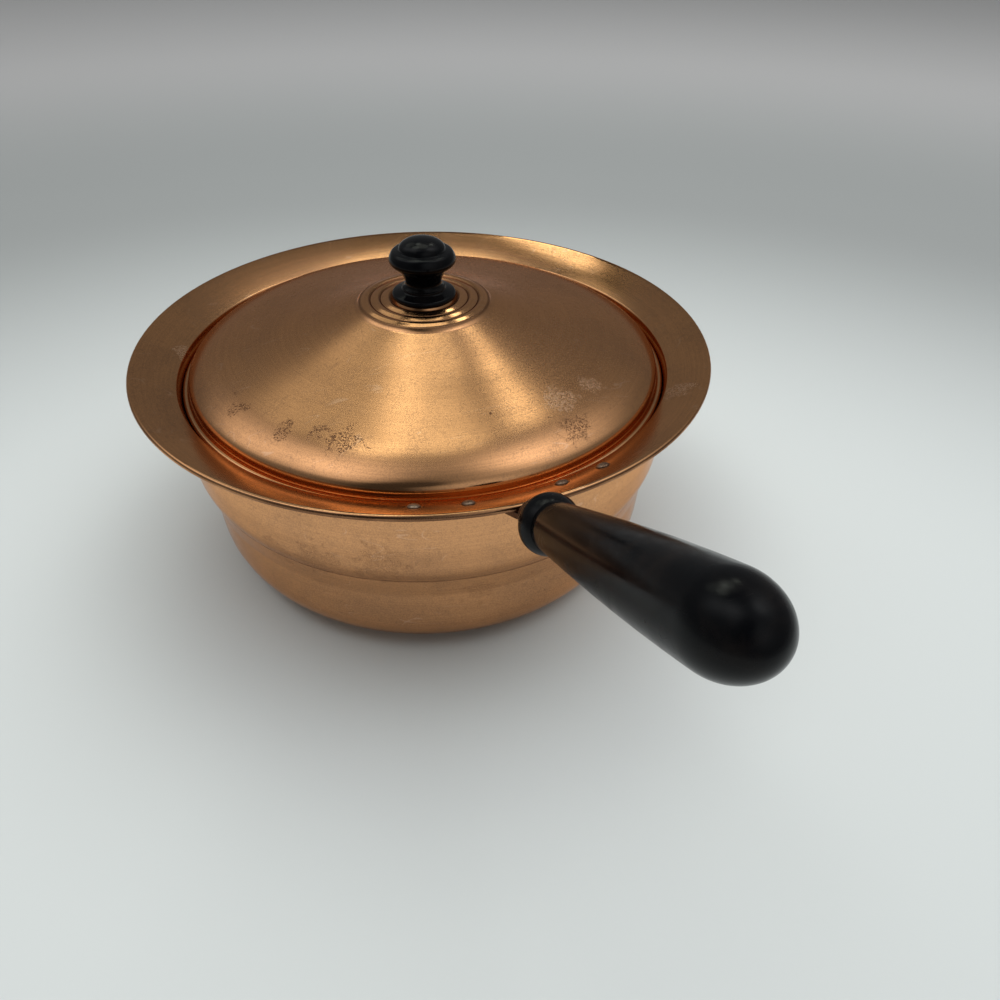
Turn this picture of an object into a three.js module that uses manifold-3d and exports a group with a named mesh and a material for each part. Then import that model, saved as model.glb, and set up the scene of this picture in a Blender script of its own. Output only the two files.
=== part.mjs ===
// Chafing dish pan of spun copper with a drop-in lid and a turned black handle.
// Millimetres, +Z up. The origin is the centre of the flat base that the pan stands on,
// and the handle points along +X.

import * as THREE from 'three';
import { mergeVertices } from 'three/addons/utils/BufferGeometryUtils.js';
import Module from 'manifold-3d';

const wasm = await Module();
wasm.setup();

const degrees = THREE.MathUtils.degToRad;

// Clearance between any two neighbouring pieces.
const gap = 0.3;

// Copper sheet.
const panSheet = 0.8;
const lidSheet = 0.8;

// Pan, from the base up. Radii are given as steps in or out from the mouth,
// and every radius and height is to the middle of the sheet.
const mouthRadius = 130.9;
const wallInset = 7.2;
const shoulderInset = 5;
const creaseInset = 2.3;
const bellyOutset = 0.5;
const baseCornerRadius = 31.6;
const shoulderHeight = 49.2;
const shoulderRound = 20;
const creaseHeight = 61.4;
const bellyRise = 7;
const bellyFootRound = 5;
const upperWallHeight = 39.4;
const bellyTopDrop = 18;
const bellyTopRound = 40;
const neckRound = 6;
const throatDepth = 9.4;
const throatTaper = degrees(15);
const mouthRound = 1.2;
const flangeRise = 9.1;
const flangeWidth = 19.55;

// Rolled edges, each wrapped round a wire.
const rimWireSection = 0.45;
const lidWireSection = 0.7;
const curlWrap = degrees(290);

// Lid. Heights are above the centre of its rolled edge, and insets are from there inwards.
const lidSeatDepth = 5.6;
const lidCurlStart = degrees(150);
const lidGrooveInset = 1.7;
const lidFootInset = 2;
const lidFootHeight = 3.4;
const lidHaunchInset = 4.6;
const lidHaunchHeight = 8.2;
const lidCrownInset = 17.6;
const lidCrownHeight = 14.6;
const lidHollowInset = 41.9;
const lidHollowHeight = 19.9;
const lidConeInset = 66.7;
const lidConeHeight = 25.4;

// Stepped rings round the top of the lid.
const ringFootRadius = 35.3;
const ringFootHeight = 33.6;
const ringRiserWidth = 1.4;
const ringRiserHeight = 1.7;
const ringCount = 3;
const ringWidth = 5.3;
const ringDrop = 0.35;
const ringCrown = 0.5;

// Knob. Heights are above the seat on top of the lid.
const knobBaseRadius = 16.6;
const knobBaseThickness = 2.9;
const knobFootRadius = 11.8;
const knobFootHeight = 4.5;
const knobBeadRadius = 11.2;
const knobBeadHeight = 5.6;
const knobBeadRound = 0.7;
const knobNeckRadius = 9.3;
const knobNeckHeight = 8.8;
const knobFlareRadius = 11.8;
const knobFlareHeight = 14.6;
const knobBulbRadius = 16.9;
const knobBulbHeight = 19.4;
const knobShoulderRadius = 15.6;
const knobShoulderHeight = 24;
const knobCapRadius = 12.6;
const knobCapHeight = 25.2;
const knobCapRise = 6;
const knobGrooveDepth = 0.6;

// Knob fixing.
const knobScrewRadius = 2.4;
const knobScrewHeadRadius = 4.6;
const knobScrewHeadHeight = 2.6;
const knobScrewHeadRound = 1.6;
const knobScrewSlotWidth = 1.2;
const knobScrewSlotDepth = 1.2;
const knobScrewReach = 15;
const knobWasherRadius = 6.6;
const knobWasherThickness = 1;
const knobInsertWall = 1.6;
const knobInsertLength = 16;
const knobBoreSpare = 2;

// Handle bracket, riveted under the flange.
const saddleThickness = 2.4;
const saddleWidth = 11;
const saddleEndMargin = degrees(2.6);
const tongueThickness = 2.6;
const tongueRootHalfWidth = 6.4;
const tongueTipHalfWidth = 5.2;
const tongueLength = 7;
const tongueClearance = 0.9;
const bridgeHalfWidth = 5.4;
const bridgeClearance = 0.7;
const bridgeSetback = 2;
const bossRadius = 7.2;
const bossLength = 9.4;
const bossRoot = 2;

// Rivets, two each side of the handle.
const rivetCircleOutset = 7.3;
const rivetInnerAngle = degrees(8.7);
const rivetOuterAngle = degrees(18);
const rivetHeadRadius = 2.9;
const rivetHeadHeight = 1.3;
const rivetShankRadius = 1.5;
const rivetTailRadius = 2.6;
const rivetTailHeight = 1;
const rivetTailRound = 0.5;

// Handle, along its own axis.
const studRadius = 3;
const studGripReach = 24;
const studBossReach = 7;
const collarWasherRadius = 8.4;
const collarWasherThickness = 1;
const collarRadius = 12.3;
const collarCrest = 2.8;
const collarBackRadius = 10.4;
const collarFrontRadius = 9.9;
const collarThickness = 9.5;
const gripLength = 123.7;
const gripRootRadius = 10;
const gripSwellRadius = 14.3;
const gripEndLength = 18.6;
const gripEdgeRound = 0.6;
const gripInsertWall = 1.9;
const gripInsertLength = 28;
const gripBoreSpare = 2;

// Facets round each kind of piece, and steps along the curves of an outline.
const sheetFacets = 48;
const saddleFacets = 96;
const wireFacets = 6;
const turnedFacets = 28;
const smallFacets = 16;
const cornerSteps = 6;
const curlSteps = 6;
const domeSteps = 10;
const knobSteps = 12;
const capSteps = 4;
const edgeSteps = 3;
const gripSteps = 6;

// Rolled edges and the wires inside them.
const panCurlRadius = rimWireSection + gap + panSheet / 2;
const panBeadRadius = panCurlRadius + panSheet / 2;
const lidCurlRadius = lidWireSection + gap + lidSheet / 2;
const lidBeadRadius = lidCurlRadius + lidSheet / 2;

// Heights and radii of the pan that the rest is built on.
const neckHeight = creaseHeight + upperWallHeight;
const mouthHeight = neckHeight + throatDepth;
const neckRadius = mouthRadius - throatDepth * Math.tan(throatTaper);
const rimWireRadius = mouthRadius + flangeWidth;
const rimWireHeight = mouthHeight + flangeRise;

// The flange runs from the mouth to touch the top of the curl.
const flangeReach = Math.hypot(flangeWidth, flangeRise);
const flangeSlope = Math.atan2(flangeRise, flangeWidth) + Math.asin(panCurlRadius / flangeReach);

const materials = {
  copper: { color: 0xc98a5c, roughness: 0.3, metalness: 1 },
  steel: { color: 0x8c8a86, roughness: 0.45, metalness: 1 },
  darkSteel: { color: 0x5a4a40, roughness: 0.5, metalness: 1 },
  brass: { color: 0xb8924a, roughness: 0.35, metalness: 1 },
  pewter: { color: 0x9a8f86, roughness: 0.4, metalness: 1 },
  black: { color: 0x0b0b0c, roughness: 0.15, metalness: 0 },
};

const dish = new THREE.Group();

function addPiece(name, geometry, material, parent = dish) {
  const mesh = new THREE.Mesh(geometry, new THREE.MeshStandardMaterial(materials[material]));
  mesh.name = name;
  parent.add(mesh);
  return mesh;
}

// A path point, as radius or distance along, and height.
function at(r, z) {
  return new THREE.Vector2(r, z);
}

// Points of an arc about a centre, both ends included.
function arc(centre, radius, from, to, steps) {
  const points = [];
  for (let i = 0; i <= steps; i += 1) {
    const angle = from + ((to - from) * i) / steps;
    points.push(at(centre.x + radius * Math.cos(angle), centre.y + radius * Math.sin(angle)));
  }
  return points;
}

// A quarter of an ellipse about a centre, from its side to its top, the first point left out.
function quarterEllipse(centre, width, height, steps) {
  return arc(at(0, 0), 1, 0, Math.PI / 2, steps)
    .slice(1)
    .map((p) => at(centre.x + p.x * width, centre.y + p.y * height));
}

// A corner of a path as a round of the given radius, which takes up at most a share of the
// shorter of its two sides.
function rounded(before, corner, after, radius, steps, share = 0.49) {
  const toBefore = before.clone().sub(corner);
  const toAfter = after.clone().sub(corner);
  const half = toBefore.angleTo(toAfter) / 2;
  const room = share * Math.min(toBefore.length(), toAfter.length());
  const reach = Math.min(radius / Math.tan(half), room);
  const start = corner.clone().add(toBefore.setLength(reach));
  const inward = toBefore.clone().normalize().add(toAfter.clone().normalize());
  const centre = corner.clone().add(inward.setLength(reach / Math.cos(half)));
  const from = start.clone().sub(centre).angle();
  const turn = -Math.sign(toBefore.cross(toAfter)) * (Math.PI - 2 * half);
  return arc(centre, reach * Math.tan(half), from, from + turn, steps);
}

// The path moved sideways by a distance, to its left where the distance is positive.
function offsetPath(path, distance) {
  return path.map((point, i) => {
    const before = path[Math.max(i - 1, 0)];
    const after = path[Math.min(i + 1, path.length - 1)];
    const into = point.clone().sub(before);
    const out = after.clone().sub(point);
    if (into.length() === 0) into.copy(out);
    if (out.length() === 0) out.copy(into);
    into.normalize();
    out.normalize();
    const side = at(-into.y - out.y, into.x + out.x).normalize();
    const miter = 1 / Math.max(side.dot(at(-into.y, into.x)), 0.5);
    return point.clone().add(side.multiplyScalar(distance * miter));
  });
}

// The closed outline of a sheet whose middle follows the path.
function sheetOutline(path, thickness) {
  const upper = offsetPath(path, thickness / 2);
  const lower = offsetPath(path, -thickness / 2);
  return upper.concat(lower.reverse());
}

// A solid of revolution about Z. The outline closes by itself, at the axis or off it.
function turned(outline, facets) {
  const points = outline.map((p) => at(Math.max(p.x, 0), p.y));
  if (THREE.ShapeUtils.area(points) < 0) points.reverse();
  points.push(points[0].clone());
  const geometry = new THREE.LatheGeometry(points, facets);
  geometry.rotateX(Math.PI / 2);
  return cleaned(geometry);
}

// Shared corners merged, and the flat triangles at the axis left out.
function cleaned(geometry) {
  const bare = geometry.clone();
  bare.deleteAttribute('normal');
  bare.deleteAttribute('uv');
  const merged = mergeVertices(bare, 1e-4);
  const index = merged.getIndex();
  const kept = [];
  for (let i = 0; i < index.count; i += 3) {
    const [a, b, c] = [index.getX(i), index.getX(i + 1), index.getX(i + 2)];
    if (a !== b && b !== c && c !== a) kept.push(a, b, c);
  }
  merged.setIndex(kept);
  merged.computeVertexNormals();
  return merged;
}

function toSolid(geometry) {
  const merged = cleaned(geometry);
  return new wasm.Manifold(new wasm.Mesh({
    numProp: 3,
    vertProperties: new Float32Array(merged.getAttribute('position').array),
    triVerts: new Uint32Array(merged.getIndex().array),
  }));
}

function toGeometry(solid) {
  const mesh = solid.getMesh();
  const geometry = new THREE.BufferGeometry();
  geometry.setAttribute('position', new THREE.Float32BufferAttribute(mesh.vertProperties, 3));
  geometry.setIndex(Array.from(mesh.triVerts));
  geometry.computeVertexNormals();
  return geometry;
}

// Middle of the pan's sheet, from the centre of the base to the end of the rolled edge.
function panPath() {
  const floor = panSheet / 2;
  const baseCentre = at(0, floor);
  const baseCorner = at(mouthRadius - wallInset, floor);
  const shoulder = at(mouthRadius - shoulderInset, shoulderHeight);
  const crease = at(mouthRadius - creaseInset, creaseHeight);
  const bellyFoot = at(mouthRadius + bellyOutset, creaseHeight + bellyRise);
  const bellyTop = at(mouthRadius + bellyOutset, neckHeight - bellyTopDrop);
  const neck = at(neckRadius, neckHeight);
  const mouth = at(mouthRadius, mouthHeight);
  const curlStart = flangeSlope + Math.PI / 2;
  const curl = arc(
    at(rimWireRadius, rimWireHeight), panCurlRadius, curlStart, curlStart - curlWrap, curlSteps);
  return [
    baseCentre,
    ...rounded(baseCentre, baseCorner, shoulder, baseCornerRadius, cornerSteps, 0.8),
    ...rounded(baseCorner, shoulder, crease, shoulderRound, 1),
    crease,
    ...rounded(crease, bellyFoot, bellyTop, bellyFootRound, 2),
    ...rounded(bellyFoot, bellyTop, neck, bellyTopRound, 1),
    ...rounded(bellyTop, neck, mouth, neckRound, 2),
    ...rounded(neck, mouth, curl[0], mouthRound, 1),
    ...curl,
  ];
}

// Where the centre of the lid's rolled edge comes to rest in the tapered throat.
function lidEdgeCentre() {
  const down = at(-Math.sin(throatTaper), -Math.cos(throatTaper));
  const inward = at(-Math.cos(throatTaper), Math.sin(throatTaper));
  return at(mouthRadius, mouthHeight)
    .addScaledVector(down, lidSeatDepth)
    .addScaledVector(inward, panSheet / 2 + gap + lidBeadRadius);
}

const lidEdge = lidEdgeCentre();
const seatMiddleHeight = ringFootHeight + ringRiserHeight + ringCount * ringDrop;
const knobSeatRadius = ringFootRadius - ringRiserWidth - ringCount * ringWidth;
const knobSeatHeight = lidEdge.y + seatMiddleHeight + lidSheet / 2;

// A point of the lid's path, given as its step in from the rolled edge and its height above it.
function onLid(inset, height) {
  return at(lidEdge.x - inset, lidEdge.y + height);
}

// The stepped rings, from the knob's seat out to their foot. Each ring is a low crown.
function ringPath() {
  const path = [];
  for (let i = 0; i < ringCount; i += 1) {
    const inner = knobSeatRadius + i * ringWidth;
    const level = lidEdge.y + seatMiddleHeight - i * ringDrop;
    path.push(at(inner + ringWidth / 4, level + ringCrown - ringDrop / 4));
    path.push(at(inner + (3 * ringWidth) / 4, level + ringCrown - (3 * ringDrop) / 4));
    path.push(at(inner + ringWidth, level - ringDrop));
  }
  return path;
}

// Middle of the lid's sheet, from the screw hole to the end of the rolled edge.
function lidPath() {
  const plateau = lidEdge.y + seatMiddleHeight;
  const dome = new THREE.SplineCurve([
    at(ringFootRadius, lidEdge.y + ringFootHeight),
    onLid(lidConeInset, lidConeHeight),
    onLid(lidHollowInset, lidHollowHeight),
    onLid(lidCrownInset, lidCrownHeight),
    onLid(lidHaunchInset, lidHaunchHeight),
    onLid(lidFootInset, lidFootHeight),
  ]);
  return [
    at(knobScrewRadius + gap, plateau),
    at(knobSeatRadius, plateau),
    ...ringPath(),
    ...dome.getSpacedPoints(domeSteps),
    onLid(lidGrooveInset, 0),
    ...arc(lidEdge, lidCurlRadius, lidCurlStart, lidCurlStart - curlWrap, curlSteps),
  ];
}

function ringWire(centre, sectionRadius) {
  const section = arc(centre, sectionRadius, 0, 2 * Math.PI, wireFacets).slice(0, -1);
  return turned(section, sheetFacets);
}

// A flat ring or tube about Z.
function ringPlate(inner, outer, bottom, top, facets) {
  const outline = [at(inner, bottom), at(outer, bottom), at(outer, top), at(inner, top)];
  return turned(outline, facets);
}

// The handle's group: X runs out along the handle, Z is square to the flange.
// Its origin is on the handle's axis, abreast of the rim wire.
const axisDrop = panCurlRadius + panBeadRadius + tongueClearance + tongueThickness / 2;
const axisBelowWire = axisDrop - panCurlRadius;
const handleFrame = new THREE.Group();
handleFrame.position.set(
  rimWireRadius + axisBelowWire * Math.sin(flangeSlope), 0,
  rimWireHeight - axisBelowWire * Math.cos(flangeSlope));
handleFrame.rotation.y = -flangeSlope;
dish.add(handleFrame);

// Distances along the handle of the faces that meet each other.
const bossEnd = tongueLength + bossLength;
const washerStart = bossEnd + gap;
const collarStart = washerStart + collarWasherThickness + gap;
const gripStart = collarStart + collarThickness + gap;

// A turned piece laid along the handle, its outline given as radius and distance along.
function alongHandle(outline, facets) {
  return turned(outline, facets).rotateY(Math.PI / 2);
}

const rivetAngles = [-rivetOuterAngle, -rivetInnerAngle, rivetInnerAngle, rivetOuterAngle];
const saddleMiddle = mouthRadius + rivetCircleOutset;
const saddleToWire = (rimWireRadius - saddleMiddle) / Math.cos(flangeSlope);

// Moves a piece that stands on the flange to a rivet's place at an angle round the pan.
function toRivetPlace(geometry, angle) {
  geometry.rotateY(-flangeSlope);
  geometry.translate(saddleMiddle, 0, mouthHeight + rivetCircleOutset * Math.tan(flangeSlope));
  geometry.rotateZ(angle);
  return geometry;
}

function rivetHole(angle) {
  const reach = 2 * (panSheet + gap + saddleThickness);
  const hole = new THREE.CylinderGeometry(
    rivetShankRadius + gap, rivetShankRadius + gap, 2 * reach, smallFacets);
  hole.rotateX(Math.PI / 2);
  return toSolid(toRivetPlace(hole, angle));
}

// A rivet through the flange and the saddle, domed above and hammered flat below.
function rivet(angle) {
  const top = panSheet / 2 + gap;
  const bottom = -panSheet / 2 - gap - saddleThickness - gap;
  return toRivetPlace(turned([
    at(0, bottom - rivetTailHeight),
    at(rivetTailRadius - rivetTailRound, bottom - rivetTailHeight),
    at(rivetTailRadius, bottom),
    at(rivetShankRadius, bottom),
    at(rivetShankRadius, top),
    at(rivetHeadRadius, top),
    ...quarterEllipse(at(0, top), rivetHeadRadius, rivetHeadHeight, edgeSteps),
  ], smallFacets), angle);
}

// The saddle is a strip of a cone that lies under the flange, with round ends.
function saddle() {
  const inner = saddleMiddle - saddleWidth / 2;
  const outer = saddleMiddle + saddleWidth / 2;
  const halfAngle = rivetOuterAngle + saddleEndMargin;
  const flangeAt = (r) => at(r, mouthHeight + (r - mouthRadius) * Math.tan(flangeSlope));
  const line = [flangeAt(inner - saddleThickness), flangeAt(outer + saddleThickness)];
  const top = panSheet / 2 + gap;
  const lower = offsetPath(line, -top - saddleThickness).reverse();
  const cone = turned(offsetPath(line, -top).concat(lower), saddleFacets);
  const endX = saddleMiddle * Math.cos(halfAngle);
  const endY = saddleMiddle * Math.sin(halfAngle);
  const plan = new THREE.Shape();
  plan.absarc(0, 0, outer, -halfAngle, halfAngle, false);
  plan.absarc(endX, endY, saddleWidth / 2, halfAngle, halfAngle + Math.PI, false);
  plan.absarc(0, 0, inner, halfAngle, -halfAngle, true);
  plan.absarc(endX, -endY, saddleWidth / 2, Math.PI - halfAngle, 2 * Math.PI - halfAngle, false);
  const prism = new THREE.ExtrudeGeometry(
    plan, { depth: mouthHeight, bevelEnabled: false, curveSegments: 8 });
  prism.translate(0, 0, mouthHeight / 2);
  return toSolid(cone).intersect(toSolid(prism));
}

// A tapered tongue that passes under the rolled edge, seen square to the flange.
function tongue() {
  const plan = new THREE.Shape([
    at(-saddleToWire, -tongueRootHalfWidth), at(tongueLength, -tongueTipHalfWidth),
    at(tongueLength, tongueTipHalfWidth), at(-saddleToWire, tongueRootHalfWidth),
  ]);
  const plate = new THREE.ExtrudeGeometry(plan, { depth: tongueThickness, bevelEnabled: false });
  plate.translate(0, 0, -tongueThickness / 2);
  return plate;
}

// The block that joins the tongue to the saddle, short of the rolled edge.
function bridge() {
  const start = -saddleToWire - saddleWidth / 4;
  const end = -panBeadRadius - bridgeSetback;
  const top = axisDrop - panSheet / 2 - bridgeClearance;
  const bottom = -tongueThickness / 2;
  const block = new THREE.BoxGeometry(end - start, 2 * bridgeHalfWidth, top - bottom);
  block.translate((start + end) / 2, 0, (top + bottom) / 2);
  return block;
}

// Saddle, bridge, tongue and boss as one forging, bored for the stud and the rivets.
function bracket() {
  const boss = alongHandle([
    at(0, tongueLength - bossRoot), at(bossRadius, tongueLength - bossRoot),
    at(bossRadius, bossEnd), at(0, bossEnd),
  ], turnedFacets);
  const boreStart = bossEnd - studBossReach - gap;
  const boreEnd = bossEnd + gap;
  const bore = alongHandle([
    at(0, boreStart), at(studRadius + gap, boreStart), at(studRadius + gap, boreEnd), at(0, boreEnd),
  ], turnedFacets);
  handleFrame.updateMatrixWorld(true);
  const inPlace = (geometry) => toSolid(geometry.applyMatrix4(handleFrame.matrixWorld));
  let solid = saddle().add(inPlace(bridge())).add(inPlace(tongue())).add(inPlace(boss));
  solid = solid.subtract(inPlace(bore));
  for (const angle of rivetAngles) solid = solid.subtract(rivetHole(angle));
  return toGeometry(solid);
}

function panShell() {
  let solid = toSolid(turned(sheetOutline(panPath(), panSheet), sheetFacets));
  for (const angle of rivetAngles) solid = solid.subtract(rivetHole(angle));
  return toGeometry(solid);
}

// Knob: a round-edged base, a bead at the foot of the neck, a bulb and a low cap on it,
// with a blind bore for its insert.
function knob() {
  const boreRadius = knobScrewRadius + gap + knobInsertWall + gap;
  const boreTop = knobInsertLength + knobBoreSpare;
  const edgeRound = knobBaseThickness / 2;
  const edge = at(knobBaseRadius - edgeRound, gap + edgeRound);
  const bead = at(knobBeadRadius - knobBeadRound, knobBeadHeight);
  const side = new THREE.SplineCurve([
    at(bead.x, knobBeadHeight + knobBeadRound),
    at(knobNeckRadius, knobNeckHeight),
    at(knobFlareRadius, knobFlareHeight),
    at(knobBulbRadius, knobBulbHeight),
    at(knobShoulderRadius, knobShoulderHeight),
    at(knobCapRadius, knobCapHeight),
  ]);
  const cap = at(knobCapRadius - knobGrooveDepth, knobCapHeight);
  return turned([
    at(boreRadius, gap),
    ...arc(edge, edgeRound, -Math.PI / 2, Math.PI / 2, 2 * edgeSteps),
    at(knobFootRadius, knobFootHeight),
    ...arc(bead, knobBeadRound, -Math.PI / 4, Math.PI / 4, 1),
    ...side.getSpacedPoints(knobSteps),
    cap,
    ...quarterEllipse(at(0, cap.y), cap.x, knobCapRise, capSteps),
    at(0, boreTop),
    at(boreRadius, boreTop),
  ], turnedFacets).translate(0, 0, knobSeatHeight);
}

function knobInsert() {
  const inner = knobScrewRadius + gap;
  return ringPlate(inner, inner + knobInsertWall, gap, knobInsertLength, smallFacets)
    .translate(0, 0, knobSeatHeight);
}

// The screw comes up through the lid, its slotted head inside the dome.
function knobScrew() {
  const headTop = -lidSheet - gap - knobWasherThickness - gap;
  const headBottom = headTop - knobScrewHeadHeight;
  const outline = [
    at(0, headBottom),
    at(knobScrewHeadRadius - knobScrewHeadRound, headBottom),
    at(knobScrewHeadRadius, headBottom + knobScrewHeadRound),
    at(knobScrewHeadRadius, headTop),
    at(knobScrewRadius, headTop),
    at(knobScrewRadius, knobScrewReach),
    at(0, knobScrewReach),
  ];
  const slot = new THREE.BoxGeometry(
    3 * knobScrewHeadRadius, knobScrewSlotWidth, 2 * knobScrewSlotDepth);
  slot.translate(0, 0, headBottom);
  const screw = toSolid(turned(outline, smallFacets)).subtract(toSolid(slot));
  return toGeometry(screw).translate(0, 0, knobSeatHeight);
}

function knobWasher() {
  const top = -lidSheet - gap;
  return ringPlate(
    knobScrewRadius + gap, knobWasherRadius, top - knobWasherThickness, top, smallFacets)
    .translate(0, 0, knobSeatHeight);
}

// Collar: full and round towards the pan, falling away towards the grip.
function collar() {
  const bore = studRadius + gap;
  const end = collarStart + collarThickness;
  const crest = at(collarRadius, collarStart + collarCrest);
  const back = new THREE.QuadraticBezierCurve(
    at(collarBackRadius, collarStart), at(collarRadius, collarStart), crest);
  const front = new THREE.QuadraticBezierCurve(
    crest, at(collarRadius, (crest.y + end) / 2), at(collarFrontRadius, end));
  return alongHandle([
    at(bore, collarStart),
    ...back.getPoints(edgeSteps),
    ...front.getPoints(2 * edgeSteps).slice(1),
    at(bore, end),
  ], turnedFacets);
}

// Grip: a slow swell from the collar, closed by a round end.
function grip() {
  const boreRadius = studRadius + gap + gripInsertWall + gap;
  const boreEnd = gripStart + gripInsertLength + gripBoreSpare;
  const flankStart = gripStart + gripEdgeRound;
  const swellAt = gripStart + gripLength - gripEndLength;
  const flank = [];
  for (let i = 0; i <= gripSteps; i += 1) {
    const t = i / gripSteps;
    const swell = (gripSwellRadius - gripRootRadius) * Math.sin((t * Math.PI) / 2);
    flank.push(at(gripRootRadius + swell, flankStart + (swellAt - flankStart) * t));
  }
  return alongHandle([
    at(boreRadius, gripStart),
    at(gripRootRadius - gripEdgeRound, gripStart),
    ...flank,
    ...quarterEllipse(at(0, swellAt), gripSwellRadius, gripEndLength, gripSteps),
    at(0, boreEnd),
    at(boreRadius, boreEnd),
  ], turnedFacets);
}

function gripInsert() {
  const inner = studRadius + gap;
  return ringPlate(
    inner, inner + gripInsertWall, gripStart + gap, gripStart + gripInsertLength, smallFacets)
    .rotateY(Math.PI / 2);
}

function stud() {
  const start = bossEnd - studBossReach;
  const end = gripStart + studGripReach;
  const outline = [at(0, start), at(studRadius, start), at(studRadius, end), at(0, end)];
  return alongHandle(outline, smallFacets);
}

function collarWasher() {
  return ringPlate(
    studRadius + gap, collarWasherRadius, washerStart, washerStart + collarWasherThickness,
    smallFacets).rotateY(Math.PI / 2);
}

addPiece('pan_shell', panShell(), 'copper');
addPiece('rim_wire', ringWire(at(rimWireRadius, rimWireHeight), rimWireSection), 'steel');
addPiece('lid_shell', turned(sheetOutline(lidPath(), lidSheet), sheetFacets), 'copper');
addPiece('lid_edge_wire', ringWire(lidEdge, lidWireSection), 'steel');
addPiece('lid_knob', knob(), 'black');
addPiece('knob_insert', knobInsert(), 'brass');
addPiece('knob_screw', knobScrew(), 'steel');
addPiece('knob_washer', knobWasher(), 'steel');
addPiece('handle_bracket', bracket(), 'darkSteel');
rivetAngles.forEach((angle, i) => addPiece(`bracket_rivet_${i + 1}`, rivet(angle), 'pewter'));
addPiece('handle_stud', stud(), 'steel', handleFrame);
addPiece('collar_washer', collarWasher(), 'steel', handleFrame);
addPiece('handle_collar', collar(), 'black', handleFrame);
addPiece('grip_insert', gripInsert(), 'brass', handleFrame);
addPiece('handle_grip', grip(), 'black', handleFrame);

export default dish;
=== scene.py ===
"""Chafing dish of spun copper with a drop-in lid and a turned black handle.

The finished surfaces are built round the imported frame, in metres, with the handle along +X.
"""

import math

import bmesh
import bpy
from bpy.props import FloatProperty, FloatVectorProperty, PointerProperty
from mathutils import Matrix, Vector
from mathutils.geometry import interpolate_bezier


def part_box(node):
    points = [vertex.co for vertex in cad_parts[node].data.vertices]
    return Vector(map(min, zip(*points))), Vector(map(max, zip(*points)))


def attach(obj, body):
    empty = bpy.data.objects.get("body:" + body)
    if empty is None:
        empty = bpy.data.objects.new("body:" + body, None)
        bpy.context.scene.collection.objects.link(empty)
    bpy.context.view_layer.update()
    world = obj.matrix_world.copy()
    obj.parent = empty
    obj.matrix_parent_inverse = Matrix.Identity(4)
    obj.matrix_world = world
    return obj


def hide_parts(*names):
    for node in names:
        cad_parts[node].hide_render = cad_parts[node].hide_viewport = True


bl_info = {
    "name": "Copper Chafing Dish",
    "version": (1, 0, 0),
    "blender": (4, 5, 0),
    "location": "View3D > Sidebar > Dish",
    "description": "Builds the finished surfaces of a spun copper chafing dish",
    "category": "Object",
}

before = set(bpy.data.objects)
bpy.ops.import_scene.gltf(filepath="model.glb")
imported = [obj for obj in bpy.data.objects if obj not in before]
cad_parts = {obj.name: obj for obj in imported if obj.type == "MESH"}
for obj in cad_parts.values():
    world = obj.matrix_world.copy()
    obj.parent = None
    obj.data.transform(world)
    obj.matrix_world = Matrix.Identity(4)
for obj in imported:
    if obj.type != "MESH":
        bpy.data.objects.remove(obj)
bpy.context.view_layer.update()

MM = 0.001
TURN = 2 * math.pi
QUARTER = math.pi / 2

# Steps round a turned piece, and along the curves of its outline.
SHEET_STEPS = 192
TURNED_STEPS = 96
SMALL_STEPS = 48
CURVE_STEPS = 10
CURL_STEPS = 20

RIM_WIRE_RADIUS = 0.45 * MM
LID_WIRE_RADIUS = 0.7 * MM
CLEARANCE = 0.3 * MM


def box_centre(node):
    """Middle of a CAD node's box."""
    low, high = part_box(node)
    return (low + high) / 2


# Places taken from the frame. The handle's axis runs through its washer and its stud,
# and slopes as the flange does.
WASHER_ALONG = 17.2 * MM
HANDLE_AXIS = (box_centre("handle_stud") - box_centre("collar_washer")).normalized()
HANDLE_ORIGIN = box_centre("collar_washer") - WASHER_ALONG * HANDLE_AXIS
FLANGE_SLOPE = math.atan2(HANDLE_AXIS.z, HANDLE_AXIS.x)
RIM_WIRE = Vector((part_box("rim_wire")[1].x - RIM_WIRE_RADIUS, box_centre("rim_wire").z))
LID_WIRE = Vector((
    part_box("lid_edge_wire")[1].x - LID_WIRE_RADIUS, box_centre("lid_edge_wire").z
))
KNOB_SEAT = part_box("lid_knob")[0].z - CLEARANCE
RIVET_NAMES = [f"bracket_rivet_{i}" for i in range(1, 5)]

# CAD nodes that keep their shape, by finish.
HARDWARE = {
    "Bracket metal": ("handle_bracket",),
    "Steel": (
        "rim_wire", "lid_edge_wire", "knob_screw", "knob_washer", "handle_stud", "collar_washer",
    ),
    "Brass": ("knob_insert", "grip_insert"),
}

RING_COUNT = 3

# Fineness of the spun lines, in lines to the metre.
SPUN_LINES = 1400.0


def length(name, millimetres, description):
    """A size that a user can change."""
    return FloatProperty(
        name=name, description=description, default=millimetres * MM, min=0, unit="LENGTH",
        precision=5,
    )


def angle(name, degrees, description):
    """An angle that a user can change."""
    return FloatProperty(
        name=name, description=description, default=math.radians(degrees), subtype="ANGLE"
    )


def number(name, value, description):
    """A plain number that a user can change."""
    return FloatProperty(name=name, description=description, default=value)


def colour(name, rgb, description):
    """A colour that a user can change."""
    return FloatVectorProperty(
        name=name, description=description, default=(*rgb, 1), size=4, min=0, max=1, subtype="COLOR"
    )


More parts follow.
